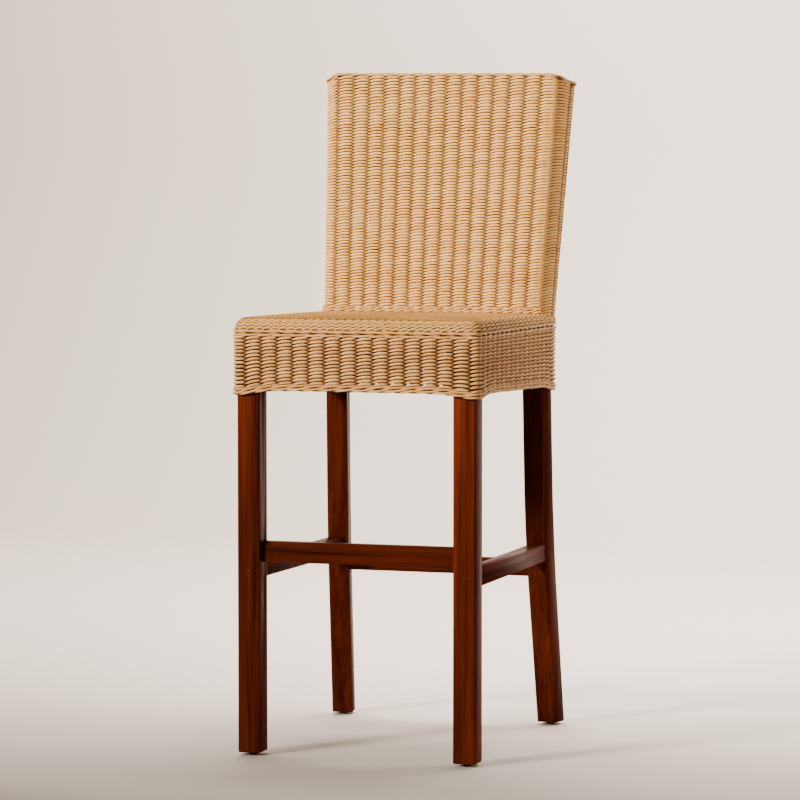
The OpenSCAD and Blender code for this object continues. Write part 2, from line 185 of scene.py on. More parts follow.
def buildStrandTree():
    tree = newTree("twinedStrands", strandInputs)
    w = Wiring(tree)
    g = w.given
    lines = w.node("GeometryNodeMeshToCurve", {"Mesh": g["Geometry"]}).outputs[0]
    copies = w.node("GeometryNodeDuplicateElements", {"Geometry": lines, "Amount": g["Strands"]},
                    domain="SPLINE")
    turns = w.math("ADD", w.math("DIVIDE", w.read("stake"), g["Period"]),
                   w.math("DIVIDE", copies.outputs["Duplicate Index"], g["Strands"]))
    even = w.math("MULTIPLY", turns, 2 * math.pi)
    bend = w.math("MULTIPLY", w.math("COSINE", even), g["Skew"])
    angle = w.math("ADD", w.math("ADD", even, bend), g["Lag"])
    climb = w.math("SUBTRACT", even, bend)
    lift = w.math("DIVIDE", w.math("ADD", w.math("COSINE", angle), g["Bias"]),
                  w.math("ADD", 1.0, w.math("ABSOLUTE", g["Bias"])))
    lift = w.math("MULTIPLY", w.math("SIGN", lift),
                  w.math("POWER", w.math("ABSOLUTE", lift), g["Plateau"]))
    perLine = w.node("FunctionNodeRandomValue",
                     {"ID": w.node("GeometryNodeInputIndex").outputs[0], "Seed": g["Seed"]},
                     data_type="FLOAT").outputs["Value"]
    tone = w.node("GeometryNodeFieldOnDomain", {"Value": perLine}, domain="CURVE",
                  data_type="FLOAT").outputs[0]
    place = w.node("GeometryNodeInputPosition").outputs[0]
    apart = w.scaled((31.0, 17.0, 23.0), tone)     # each strand wanders in its own way
    shifted = w.vector("ADD", w.scaled(place, 55.0), apart)
    drift = w.node("ShaderNodeTexNoise", {"Vector": shifted, "Scale": 1.0, "Detail": 1.0})
    sway = w.scaled(w.vector("SUBTRACT", drift.outputs["Color"], (0.5, 0.5, 0.5)), g["Wander"])
    outward = w.read("outward", "FLOAT_VECTOR")
    tangent = w.node("GeometryNodeInputTangent").outputs[0]
    up = w.vector("NORMALIZE", w.vector("CROSS_PRODUCT", outward, tangent))
    hidden = w.math("MULTIPLY", w.math("MINIMUM", lift, 0.0), w.math("SUBTRACT", g["Behind"], 1.0))
    swing = w.math("MULTIPLY", g["Swing"], w.read("relief"))
    reach = w.math("MULTIPLY", w.math("ADD", lift, hidden), swing)
    nest = w.math("MULTIPLY", w.math("MULTIPLY_ADD", lift, -0.5, 0.5), g["Nest"])
    shift = w.math("ADD", w.math("MULTIPLY", w.math("SINE", climb), g["Rise"]), nest)
    offset = w.vector("ADD", w.scaled(outward, reach), w.scaled(up, shift))
    offset = w.vector("ADD", offset, sway)
    marked = w.store(copies.outputs[0], "tone", tone)
    # how far out each stretch lies; it sets the squeeze and the painted shade where strands dive
    sunk = w.math("MULTIPLY", w.math("MULTIPLY_ADD", lift, -0.5, 0.5), w.read("relief"))
    marked = w.store(marked, "lift", w.math("SUBTRACT", 1.0, sunk))
    marked = w.store(marked, "along", w.read("stake"))
    moved = w.node("GeometryNodeSetPosition", {"Geometry": marked, "Offset": offset}).outputs[0]
    circle = w.node("GeometryNodeCurvePrimitiveCircle", {"Resolution": g["Sides"], "Radius": 1.0})
    profile = w.store(circle.outputs[0], "around",
                      w.node("GeometryNodeSplineParameter").outputs["Factor"])
    spread = w.math("MULTIPLY", w.math("SUBTRACT", w.read("tone"), 0.5), g["Radius Spread"])
    thickness = w.math("MULTIPLY", g["Radius"], w.math("ADD", 1.0, spread))
    squeeze = w.math("MULTIPLY_ADD", w.read("lift"), g["Squeeze"], w.math("SUBTRACT", 1.0, g["Squeeze"]))
    thickness = w.math("MULTIPLY", thickness, squeeze)
    tube = w.node("GeometryNodeCurveToMesh",
                  {"Curve": moved, "Profile Curve": profile, "Scale": thickness, "Fill Caps": True})
    # how far each face looks outward, kept for the painted shade in the creases between rows
    facing = w.node("GeometryNodeInputNormal").outputs[0]
    crest = w.vector("DOT_PRODUCT", facing, w.read("outward", "FLOAT_VECTOR"))
    marked = w.store(tube.outputs[0], "crest", crest)
    smooth = w.node("GeometryNodeSetShadeSmooth", {"Geometry": marked}).outputs[0]
    whole = w.node("GeometryNodeRealizeInstances", {"Geometry": smooth}).outputs[0]
    painted = w.node("GeometryNodeSetMaterial",
                     {"Geometry": whole, "Material": g["Material"]}).outputs[0]
    w.put(w.result["Geometry"], painted)
    return tree


strandTree = buildStrandTree()


def guideMesh(name, lines):
    # lines: list of (points, outward, stake, closed) and, where it isn't 1, how strongly it swings
    points, outward, stake, relief, edges = [], [], [], [], []
    for path, normal, count, closed, *swing in lines:
        relief.extend(swing[0] if swing else np.ones(len(path)))
        start = len(points)
        points.extend(path)
        outward.extend(normal)
        stake.extend(count)
        n = len(path)
        edges.extend((start + i, start + i + 1) for i in range(n - 1))
        if closed:
            edges.append((start + n - 1, start))
    mesh = bpy.data.meshes.new(name)
    mesh.from_pydata([tuple(p) for p in points], edges, [])
    mesh.attributes.new("outward", "FLOAT_VECTOR", "POINT").data.foreach_set(
        "vector", np.array(outward, np.float32).ravel())
    for label, values in (("stake", stake), ("relief", relief)):
        mesh.attributes.new(label, "FLOAT", "POINT").data.foreach_set(
            "value", np.array(values, np.float32))
    return addObject(name, mesh)


def level(path, closed):
    # outward normals of a line that stays level, found from its own direction
    if closed:
        ahead = np.roll(path, -1, 0) - np.roll(path, 1, 0)
    else:
        ahead = np.gradient(path, axis=0)
    normal = np.stack([ahead[:, 1], -ahead[:, 0], 0 * ahead[:, 0]], 1)
    return normal / np.linalg.norm(normal, axis=1)[:, None]


def roundLoop(ring, shares, radius, stakes):
    # a closed path round four corners, each side holding its own share of stakes, corners eased
    sides = []
    for i, count in enumerate(shares):
        a, b = ring[i], ring[(i + 1) % 4]
        sides.append((a, b, count, np.linalg.norm(b - a)))
    starts = np.cumsum([0] + list(shares))
    path = np.zeros((len(stakes), 3))
    for k, s in enumerate(stakes % starts[-1]):
        i = min(int(np.searchsorted(starts, s, "right")) - 1, 3)
        a, b, count, length = sides[i]
        d = (s - starts[i]) / count * length
        point = mix(a, b, d / length)
        for corner, gap, side in ((a, d, -1), (b, length - d, 1)):
            if gap < radius:
                before, after = (sides[i - 1], sides[i]) if side < 0 else (sides[i], sides[(i + 1) % 4])
                into = (before[0] - before[1]) / before[3]
                out = (after[1] - after[0]) / after[3]
                t = 0.5 - side * 0.5 * gap / radius
                low, high = corner + into * radius, corner + out * radius
                point = mix(mix(low, corner, t), mix(corner, high, t), t)
        path[k] = point
    return path


def newFinish(name):
    finish = bpy.data.materials.new(name)
    finish.use_nodes = True
    return finish, Wiring.forMaterial(finish), finish.node_tree.nodes["Principled BSDF"].inputs


def newGroup(name, inputs, outputs):
    group = bpy.data.node_groups.new(name, "ShaderNodeTree")
    for label, kind, value in inputs:
        socket = group.interface.new_socket(label, in_out="INPUT", socket_type="NodeSocket" + kind)
        socket.default_value = value
    for label, kind in outputs:
        group.interface.new_socket(label, in_out="OUTPUT", socket_type="NodeSocket" + kind)
    return group


def blend(w, mode, factor, a, b):
    node = w.node("ShaderNodeMix", data_type="RGBA", blend_type=mode)
    w.put(node.inputs["Factor"], factor)
    w.put(node.inputs[6], a)
    w.put(node.inputs[7], b)
    return node.outputs[2]


def noise(w, vector, scale, detail=2.0, roughness=0.5):
    return w.node("ShaderNodeTexNoise", {"Vector": vector, "Scale": scale, "Detail": detail,
                                         "Roughness": roughness}).outputs["Fac"]


def spanned(w, value, low, high, newLow=0.0, newHigh=1.0):
    return w.node("ShaderNodeMapRange", {"Value": value, "From Min": low, "From Max": high,
                                         "To Min": newLow, "To Max": newHigh}).outputs[0]


def swung(w, middle, *parts):
    # a middle value pushed up and down by patterns of 0 to 1, each with its own share
    total = middle
    for pattern, share in parts:
        total = w.math("ADD", w.math("MULTIPLY", w.math("SUBTRACT", pattern, 0.5), share), total)
    return total


def attribute(w, name):
    return w.node("ShaderNodeAttribute", attribute_name=name).outputs["Fac"]


def joined(w, x, y, z):
    return w.node("ShaderNodeCombineXYZ", {"X": x, "Y": y, "Z": z}).outputs[0]


caneLook = {
    "patchScale": (14.0, 14.0, 26.0),      # broad patches over the whole panel
    "hueScale": (9.0, 9.0, 12.0),          # slow drift between pink and olive
    "pinkShare": 0.35,
    "pink": (1.0, 0.82, 0.74, 1),
    "oliveShare": 0.45,
    "olive": (0.93, 0.95, 0.66, 1),
    "toneShare": 0.42,                     # how much each strand differs from the next
    "blotchShare": 0.7,                    # along one strand
    "fibreShare": 0.35,                    # fine lines along the strand
    "middle": 0.52,                        # 0 is all honey, 1 is all straw
    "paintedShadeShare": 0.78,                   # painted shade on what dives behind a stake
    "speckShare": 0.4,
    "roughness": (0.42, 0.6),
    "fibreDepth": 0.0006,
    "fibreStrength": 0.25,
}


def buildCaneGroup():
    # colour, roughness and relief of round cane: tone per strand, patches, fibres, painted shade in the
    # hollows and creases
    group = newGroup("caneLook", [
        ("Straw", "Color", (0.8, 0.5, 0.25, 1)), ("Honey", "Color", (0.6, 0.33, 0.13, 1)),
        ("Hollow", "Color", (0.08, 0.03, 0.01, 1)), ("Patches", "Float", 0.5),
        ("Stain", "Float", 0.5)], [("Colour", "Color"), ("Roughness", "Float"), ("Normal", "Vector")])
    w = Wiring(group)
    g = w.given
    look = caneLook
    tone = attribute(w, "tone")
    along = attribute(w, "along")
    around = attribute(w, "around")
    lift = attribute(w, "lift")
    place = w.node("ShaderNodeTexCoord").outputs["Object"]
    wide = w.node("ShaderNodeMapping", {"Vector": place, "Scale": look["patchScale"]}).outputs[0]
    patches = noise(w, wide, 1.0, 3.0, 0.6)
    hueSpace = w.node("ShaderNodeMapping", {"Vector": place, "Location": (3.0, 1.0, 7.0),
                                            "Scale": look["hueScale"]}).outputs[0]
    hue = noise(w, hueSpace, 1.0, 2.0)
    far = w.math("MULTIPLY", tone, 37.0)
    fibreSpace = joined(w, w.math("MULTIPLY", along, 2.2), w.math("MULTIPLY", around, 14.0), far)
    fibres = noise(w, fibreSpace, 1.0, 3.0, 0.65)
    blotchSpace = joined(w, w.math("MULTIPLY", along, 1.1), around, far)
    blotches = noise(w, blotchSpace, 1.3, 2.0)
    spread = swung(w, look["middle"], (tone, look["toneShare"]), (patches, g["Patches"]),
                   (blotches, look["blotchShare"]), (fibres, look["fibreShare"]))
    shade = w.node("ShaderNodeClamp", {"Value": spread}).outputs[0]
    colour = blend(w, "MIX", shade, g["Honey"], g["Straw"])
    pink = spanned(w, hue, 0.52, 0.68, 0.0, look["pinkShare"])
    olive = spanned(w, hue, 0.46, 0.3, 0.0, look["oliveShare"])
    colour = blend(w, "MULTIPLY", pink, colour, look["pink"])
    colour = blend(w, "MULTIPLY", olive, colour, look["olive"])
    # painted shade where strands dive behind the stakes and in the creases between rows
    low = spanned(w, lift, 0.80, 0.58, 0.0, look["paintedShadeShare"])
    crease = spanned(w, attribute(w, "crest"), 0.8, 0.25, 0.0, 1.0)
    near = spanned(w, lift, 1.0, 0.7, 0.5, 1.0)
    shadeMask = w.math("MULTIPLY_ADD", crease, near, low)
    shadeMask = w.math("MINIMUM", w.math("MULTIPLY", shadeMask, g["Stain"]), 1.0)
    colour = blend(w, "MIX", shadeMask, colour, g["Hollow"])
    specks = spanned(w, noise(w, fibreSpace, 3.1, 2.0), 0.66, 0.74, 0.0, look["speckShare"])
    colour = blend(w, "MIX", specks, colour, g["Hollow"])
    w.put(w.result["Colour"], colour)
    w.put(w.result["Roughness"], spanned(w, fibres, 0.3, 0.7, *look["roughness"]))
    bump = w.node("ShaderNodeBump", {"Height": fibres, "Strength": look["fibreStrength"],
                                     "Distance": look["fibreDepth"]})
    w.put(w.result["Normal"], bump.outputs[0])
    return group


caneGroup = buildCaneGroup()


# The darkest colour serves both the painted shade in the hollows and the dark specks; the strength sets
# how dark the painted shade gets.
def caneFinish(name, straw, honey, hollow=(0.045, 0.013, 0.003), patches=0.7, stain=0.85, gloss=0.2):
    finish, w, shader = newFinish(name)
    look = w.node("ShaderNodeGroup", node_tree=caneGroup)
    values = {"Straw": (*straw, 1), "Honey": (*honey, 1), "Hollow": (*hollow, 1),
              "Patches": patches, "Stain": stain}
    for key, value in values.items():
        look.inputs[key].default_value = value
    w.put(shader["Base Color"], look.outputs["Colour"])
    w.put(shader["Roughness"], look.outputs["Roughness"])
    w.put(shader["Normal"], look.outputs["Normal"])
    shader["Specular IOR Level"].default_value = gloss
    return finish


woodLook = {
    "bandScale": (26.0, 26.0, 1.6),        # broad growth bands
    "bandBend": 1.6,
    "bandShare": 1.6,
    "streakScale": (120.0, 120.0, 3.0),
    "streakShare": 1.2,
    "poreScale": (420.0, 420.0, 7.0),
    "poreShare": 0.5,
    "poreStain": 0.6,
    "roughness": (0.36, 0.26),
    "poreDepth": 0.0005,
    "poreStrength": 0.12,
    "gloss": 0.006,
}


def buildWoodGroup():
    # stained hardwood with the grain along Z of the given vector
    group = newGroup("woodLook", [
        ("Vector", "Vector", (0, 0, 0)), ("Light", "Color", (0.3, 0.06, 0.015, 1)),
        ("Dark", "Color", (0.05, 0.01, 0.004, 1)), ("Contrast", "Float", 1.0)],
        [("Colour", "Color"), ("Roughness", "Float"), ("Normal", "Vector")])
    w = Wiring(group)
    g = w.given
    look = woodLook
    bands = w.node("ShaderNodeMapping", {"Vector": g["Vector"], "Scale": look["bandScale"]}).outputs[0]
    bend = w.node("ShaderNodeTexNoise", {"Vector": bands, "Scale": 0.6, "Detail": 2.0}).outputs["Color"]
    bend = w.scaled(w.vector("SUBTRACT", bend, (0.5, 0.5, 0.5)), look["bandBend"])
    broad = noise(w, w.vector("ADD", bands, bend), 1.0, 3.0, 0.6)
    fine = w.node("ShaderNodeMapping", {"Vector": g["Vector"], "Scale": look["poreScale"]}).outputs[0]
    pores = noise(w, fine, 1.0, 3.0, 0.6)
    medium = w.node("ShaderNodeMapping", {"Vector": g["Vector"], "Scale": look["streakScale"]}).outputs[0]
    streaks = noise(w, medium, 1.0, 3.0, 0.55)
    amount = swung(w, 0.0, (broad, look["bandShare"]), (streaks, look["streakShare"]),
                   (pores, look["poreShare"]))
    amount = w.math("MULTIPLY_ADD", amount, g["Contrast"], 0.5)
    amount = w.node("ShaderNodeClamp", {"Value": amount}).outputs[0]
    colour = blend(w, "MIX", amount, g["Dark"], g["Light"])
    dark = spanned(w, pores, 0.4, 0.3, 0.0, look["poreStain"])
    colour = blend(w, "MIX", dark, colour, g["Dark"])
    w.put(w.result["Colour"], colour)
    w.put(w.result["Roughness"], spanned(w, streaks, 0.3, 0.7, *look["roughness"]))
    bump = w.node("ShaderNodeBump", {"Height": pores, "Strength": look["poreStrength"],
                                     "Distance": look["poreDepth"]})
    w.put(w.result["Normal"], bump.outputs[0])
    return group


woodGroup = buildWoodGroup()
grainTurns = {"z": (0, 0, 0), "x": (0, math.pi / 2, 0), "y": (math.pi / 2, 0, 0)}


def woodFinish(name, grain, light, dark, shade=1.0, shift=0.0, contrast=1.0, rough=None):
    finish, w, shader = newFinish(name)
    place = w.node("ShaderNodeTexCoord").outputs["Object"]
    turned = w.node("ShaderNodeMapping", {"Vector": place, "Location": (shift, shift * 1.7, shift * 0.6),
                                          "Rotation": grainTurns[grain]}).outputs[0]
    look = w.node("ShaderNodeGroup", node_tree=woodGroup)
    w.put(look.inputs["Vector"], turned)
    look.inputs["Light"].default_value = (*(shade * c for c in light), 1)
    look.inputs["Dark"].default_value = (*(shade * c for c in dark), 1)
    look.inputs["Contrast"].default_value = contrast
    w.put(shader["Base Color"], look.outputs["Colour"])
    w.put(shader["Normal"], look.outputs["Normal"])
    if rough is None:
        w.put(shader["Roughness"], look.outputs["Roughness"])
    else:
        shader["Roughness"].default_value = rough
    shader["Specular IOR Level"].default_value = woodLook["gloss"]
    return finish


def plainFinish(name, colour, roughness, metallic=0.0):
    # one colour with a very fine speckle
    finish, w, shader = newFinish(name)
    place = w.node("ShaderNodeTexCoord").outputs["Object"]
    speckle = noise(w, place, 900.0, 2.0)
    bump = w.node("ShaderNodeBump", {"Height": speckle, "Strength": 0.15, "Distance": 0.0003})
    shader["Base Color"].default_value = (*colour, 1)
    shader["Roughness"].default_value = roughness
    shader["Metallic"].default_value = metallic
    w.put(shader["Normal"], bump.outputs[0])
    return finish


# Each part's cane has its own tones. The skirt's cane is drawn darker than the back's, and the seat's top
# darker than its edge rows: partly the cane's own tone, partly painted shade.
caneBackFinish = caneFinish("caneBack", (1.0, 0.585, 0.19), (0.86, 0.39, 0.08))
caneSkirtFinish = caneFinish("caneSkirt", (0.84, 0.46, 0.17), (0.53, 0.225, 0.06), stain=1.0)
caneSeatFinish = caneFinish("caneSeat", (0.42, 0.205, 0.042), (0.24, 0.105, 0.018), patches=1.4,
                            stain=0.5, gloss=0.06)
caneBorderFinish = caneFinish("caneBorder", (0.76, 0.41, 0.145), (0.52, 0.235, 0.058))
caneEdgeFinish = caneFinish("caneEdge", (0.72, 0.40, 0.135), (0.50, 0.23, 0.055), gloss=0.1)
print("finishes made")

cane = {
    "radius": 0.0025,            # of the weaving strands
    "swing": 0.0042,             # in front of the stakes' middle
    "stepsPerStake": 8,
    "rodPoints": 9,              # points along a stake
}
cane["sink"] = cane["swing"] + cane["radius"]     # from the outer surface to the stakes' middle

# pairs of strands twined round the stakes
twine = {
    "Strands": 2,
    "Period": 2.0,
    "Swing": cane["swing"],
    "Radius": cane["radius"],
    "Radius Spread": 0.12,
    "Plateau": 0.6,
    "Bias": 0.14,
    "Squeeze": 0.14,
    "Skew": 0.45,
    "Lag": 0.3,
    "Rise": 0.0013,
    "Nest": 0.0019,
    "Wander": 0.0012,
}
# three strands twisted into a border
wale = {
    "Strands": 3,
    "Period": 3.0,
    "Radius": 0.0022,
    "Plateau": 0.8,
    "Bias": 0.3,
    "Squeeze": 0.1,
    "Skew": 0.0,
    "Lag": 0.0,
    "Rise": 0.0017,
    "Nest": 0.0,
    "Wander": 0.0018,
}
# one straight rod
rod = {
    "Strands": 1,
    "Swing": 0.0,
    "Squeeze": 0.0,
    "Skew": 0.0,
    "Lag": 0.0,
    "Rise": 0.0,
    "Nest": 0.0,
    "Wander": 0.0006,
}


def weave(name, lines, values, finish, replaced=()):
    settings = {**twine, **values, "Material": finish}
    piece = applyTree(guideMesh(name + "Guide", lines), strandTree, settings, name)
    return finishPiece(piece, replaced)


def rods(name, lines, radius, finish):
    return weave(name, lines, {**rod, "Radius": radius}, finish)


def loop(ring, shares, radius):
    # one level turn round a ring of corners with the stakes' count, and its outward directions
    stakes = np.arange(sum(shares) * cane["stepsPerStake"]) / cane["stepsPerStake"]
    path = roundLoop(ring, shares, radius, stakes)
    return path, -level(path, True), stakes, True


def uprights(lowLoop, highLoop):
    # straight rods at each stake between two loops
    count = cane["rodPoints"]
    lines = []
    for i in range(0, len(lowLoop[0]), cane["stepsPerStake"]):
        path = np.array([mix(lowLoop[0][i], highLoop[0][i], t) for t in np.linspace(0, 1, count)])
        lines.append((path, np.repeat([lowLoop[1][i]], count, 0), np.arange(count), False))
    return lines


back = {
    "shares": (1.5, 16.5, 1.5, 14.5),    # stakes on the left, rear, right and front
    "corner": 0.003,
    "stakeRadius": 0.0023,
    "rowPitch": 0.0053,
    "firstRow": 0.001,           # height over the rear of the skirt
    "lastRow": 0.0068,           # depth under the top
    "bands": 3,                  # the rows are shared out over this many pieces
    "crest": (0.0115, -0.001, -0.008, 0.0060),   # height of the four top corners over the cover
    "droop": (0.0095, 0.0015),   # how far the cover's left and right edges are rounded down
    "droopReach": 0.011,
    "press": 0.75,               # the strands lie flat round the corners
    "pressReach": 0.010,
    "bulge": 0.0018,             # the sides swell out
    "flare": 0.004,              # the rear corners lean out towards the top
    "coverRows": 13,
    "coverDepth": 0.0040,        # from the top to the middle of the cover's strands
    "coverInset": 0.004,
    "cover": {"Swing": 0.0015, "Radius": 0.0027, "Seed": 21},
    "topDrop": 0.0042,           # the border under the cover's edge
    "topInset": 0.0060,
    "topStakes": 33,
    "topBorder": {**wale, "Rise": 0.0013, "Seed": 31},
    "baseRows": ((0.0035, 0.0042), (0.0085, 0.0050)),    # height and inset of the border by the seat
    "baseStakes": 1.5,           # its stakes for each stake of the back
    "baseBorder": {**wale, "Rise": 0.0018, "Seed": 32},
}

topRing = corners("back_weave_top")[1]
footFront = corners("back_weave_front")[0]
footRear = corners("back_weave_rear")[0]
footRing = np.array([footFront[0], footRear[1], footRear[2], footFront[3]])
signs = np.array([[-1, -1], [-1, 1], [1, 1], [1, -1]])


def sleeveRing(z, inset=cane["sink"], crest=0.0):
    # the back's four corners at height z, moved in by inset; crest is the share of the crest's shape
    t = (z - footRing[0][2]) / (topRing[0][2] - footRing[0][2])
    ring = mix(footRing, topRing, t)
    ring[:, 2] = z + np.array(back["crest"]) * crest
    ring[:, :2] -= signs * inset
    ring[1:3, 0] += signs[1:3, 0] * back["flare"] * t ** 3
    ring[:, 0] += signs[:, 0] * back["bulge"]
    return ring


def sag(path, ring, crest):
    # rounds a line down towards the top's left and right edges
    share = (path[:, 1] - ring[0][1]) / (ring[1][1] - ring[0][1])
    for near, far, droop in ((0, 1, back["droop"][0]), (3, 2, back["droop"][1])):
        gap = path[:, 0] - mix(ring[near][0], ring[far][0], share)
        path[:, 2] -= crest * droop * np.exp(-(gap / back["droopReach"]) ** 2)
    return path


def sleeveLoop(z, inset=cane["sink"], crest=0.0):
    ring = sleeveRing(z, inset, crest)
    path, outward, stakes, closed = loop(ring, back["shares"], back["corner"])
    relief = np.ones(len(path))
    for corner in ring:
        gap = np.linalg.norm(path[:, :2] - corner[:2], axis=1)
        relief -= back["press"] * np.exp(-(gap / back["pressReach"]) ** 2)
    return sag(path, ring, crest), outward, stakes, closed, relief


def buildBack():
    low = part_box("skirt_weave_rear")[1][2] + back["firstRow"]
    high = topRing[0][2] - back["lastRow"]
    rows = int(round((high - low) / back["rowPitch"]))
    shares = [(i + 0.5) / rows for i in range(rows)]
    bands = back["bands"]
    nodes = ("back_weave_front", "back_weave_rear", "back_weave_left", "back_weave_right")
    for band in range(bands):
        chosen = shares[rows * band // bands:rows * (band + 1) // bands]
        lines = [sleeveLoop(mix(low, high, t), crest=t ** 3) for t in chosen]
        weave(f"backCane{band + 1}", lines, {"Seed": 11 + band}, caneBackFinish,
              nodes if band == 0 else ())
    lowLoop, highLoop = sleeveLoop(low), sleeveLoop(high, crest=1.0)
    rods("backStakes", uprights(lowLoop, highLoop), back["stakeRadius"], caneBackFinish)


def buildBackCover():
    # strands that run from side to side over the top
    ring = sleeveRing(topRing[0][2] - back["coverDepth"], back["coverInset"], 1.0)
    steps = int(back["shares"][3] * cane["stepsPerStake"])
    lines = []
    for row in range(back["coverRows"]):
        t = (row + 0.5) / back["coverRows"]
        a, b = mix(ring[0], ring[1], t), mix(ring[3], ring[2], t)
        path = sag(np.array([mix(a, b, i / steps) for i in range(steps + 1)]), ring, 1.0)
        up = np.repeat([[0.0, 0.0, 1.0]], steps + 1, 0)
        lines.append((path, up, np.arange(steps + 1) / cane["stepsPerStake"], False))
    weave("backCoverCane", lines, back["cover"], caneBackFinish, ["back_weave_top"])


def buildBackBorders():
    path, outward, stakes, closed = sleeveLoop(topRing[0][2] - back["topDrop"], back["topInset"], 1.0)[:4]
    lines = [(path, outward, stakes * (back["topStakes"] / sum(back["shares"])), closed)]
    weave("backTopBorder", lines, back["topBorder"], caneBorderFinish, ["back_border_top"])
    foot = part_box("back_border_base")[0][2]
    first = int(sum(back["shares"][:3]) * cane["stepsPerStake"])      # where the front begins
    lines = []
    for rise, inset in back["baseRows"]:
        path, outward = sleeveLoop(foot + rise, inset)[:2]
        path = np.vstack([path[first:], path[:1]])
        outward = np.vstack([outward[first:], outward[:1]])
        stakes = np.arange(len(path)) / cane["stepsPerStake"] * back["baseStakes"]
        lines.append((path, outward, stakes, False))
    weave("backBaseBorder", lines, back["baseBorder"], caneBorderFinish,
          ["back_border_base"])


buildBack()
buildBackCover()
buildBackBorders()
print("back woven")

skirt = {
    "shares": (17, 17, 17, 15),       # stakes on the left, rear, right and front
    "corner": 0.004,
    "rows": 14,
    "firstRow": 0.0130,               # height over the hem
    "lastRow": 0.0198,                # depth under the seat frame's top
    "rowWeave": {"Swing": 0.0048, "Rise": 0.0014, "Nest": 0.0019, "Radius": 0.0026, "Seed": 41},
    "stakeRadius": 0.0026,
    "stakeFoot": 0.002,
    "stakeTop": 0.004,
    "borderInset": 0.0058,
    "borderStakes": 66,               # counted once round, as for all the border rows
    "hemRows": (0.0030, 0.0086),      # heights of the border rows over the hem
    "hemBorder": {**wale, "Seed": 42},
    "topRow": 0.0143,                 # depths of the border rows under the seat frame's top
    "topBorder": {**wale, "Rise": 0.0012, "Seed": 43},
    "upperRow": 0.0080,
    "upperBorder": {**wale, "Rise": -0.0014, "Seed": 44},
    "rearRows": (0.0035, -0.0005),    # only along the rear, under the back
    "rearBorder": {**wale, "Rise": 0.0013, "Seed": 45},
    "hemLift": 0.0035,                # the whole hem is drawn this much higher
    "dip": 0.0085,                    # the hem hangs lower at the legs
    "dipReach": 0.045,
    "bulge": 0.0012,                  # the sides swell out
}


def skirtOutline():
    # half widths, ends and hem heights of the skirt, front then rear
    side = np.array([vertex.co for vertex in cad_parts["skirt_weave_left"].data.vertices])
    front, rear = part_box("skirt_weave_front"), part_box("skirt_weave_rear")
    ends = (front[0][1], rear[1][1])
    middle = (ends[0] + ends[1]) / 2
    halves = (-side[side[:, 1] < middle][:, 0].min(), -side[side[:, 1] > middle][:, 0].min())
    return halves, ends, (front[0][2], rear[0][2]), front[1][2]


halfWidths, skirtEnds, hems, frameTop = skirtOutline()


def depthShare(y):
    # 0 at the skirt's front and 1 at its rear
    return (y - skirtEnds[0]) / (skirtEnds[1] - skirtEnds[0])


def skirtRing(inset):
    (a, b), (front, rear) = halfWidths, skirtEnds
    ring = np.array([[-a, front, 0], [-b, rear, 0], [b, rear, 0], [a, front, 0]])
    ring[:, :2] -= signs * inset
    ring[:, 0] += signs[:, 0] * skirt["bulge"]
    return ring


def skirtLoop(heights, inset, dip):
    # heights at the front and the rear; dip lowers the line at the four legs
    ring = skirtRing(inset)
    path, outward, stakes, closed = loop(ring, skirt["shares"], skirt["corner"])
    path[:, 2] = mix(heights[0], heights[1], depthShare(path[:, 1]))
    gap = np.min([np.linalg.norm(path[:, :2] - corner[:2], axis=1) for corner in ring], axis=0)
    path[:, 2] -= skirt["dip"] * dip * np.exp(-(gap / skirt["dipReach"]) ** 2)
    return path, outward, stakes, closed


def borderLoop(heights, dip):
    path, outward, stakes, closed = skirtLoop(heights, skirt["borderInset"], dip)
    return path, outward, stakes * (skirt["borderStakes"] / sum(skirt["shares"])), closed


def overHem(rise):
    # front and rear heights over the hem
    return [hem + skirt["hemLift"] + rise for hem in hems]


def underTop(drop):
    return [frameTop - drop] * 2


def buildSkirt():
    low, high = overHem(skirt["firstRow"]), underTop(skirt["lastRow"])
    lines = []
    for row in range(skirt["rows"]):
        t = row / (skirt["rows"] - 1)
        lines.append(skirtLoop([mix(low[i], high[i], t) for i in (0, 1)], cane["sink"], (1 - t) ** 2))
    weave("skirtCane", lines, skirt["rowWeave"], caneSkirtFinish,
          ["skirt_weave_front", "skirt_weave_rear", "skirt_weave_left", "skirt_weave_right"])
    foot = skirtLoop(overHem(skirt["stakeFoot"]), cane["sink"], 1.0)
    top = skirtLoop(underTop(skirt["stakeTop"]), cane["sink"], 0.0)
    rods("skirtStakes", uprights(foot, top), skirt["stakeRadius"], caneSkirtFinish)


def buildSkirtBorders():
    finish = caneBorderFinish
    lines = [borderLoop(overHem(rise), 1.0) for rise in skirt["hemRows"]]
    weave("skirtHemBorder", lines, skirt["hemBorder"], finish, ["skirt_border_bottom"])
    lines = [borderLoop(underTop(skirt["topRow"]), 0.0)]
    weave("skirtTopBorder", lines, skirt["topBorder"], finish, ["skirt_border_top"])
    lines = [borderLoop(underTop(skirt["upperRow"]), 0.0)]
    weave("skirtTopBorderUpper", lines, skirt["upperBorder"], finish)
    # strands that close the joint under the rear of the back
    first = skirt["shares"][0] * cane["stepsPerStake"]
    last = sum(skirt["shares"][:2]) * cane["stepsPerStake"] + 1
    lines = []
    for drop in skirt["rearRows"]:
        path, outward, stakes, closed = borderLoop(underTop(drop), 0.0)
        lines.append((path[first:last], outward[first:last], stakes[first:last], False))
    weave("skirtRearBorder", lines, skirt["rearBorder"], finish)


buildSkirt()
buildSkirtBorders()
print("skirt woven")

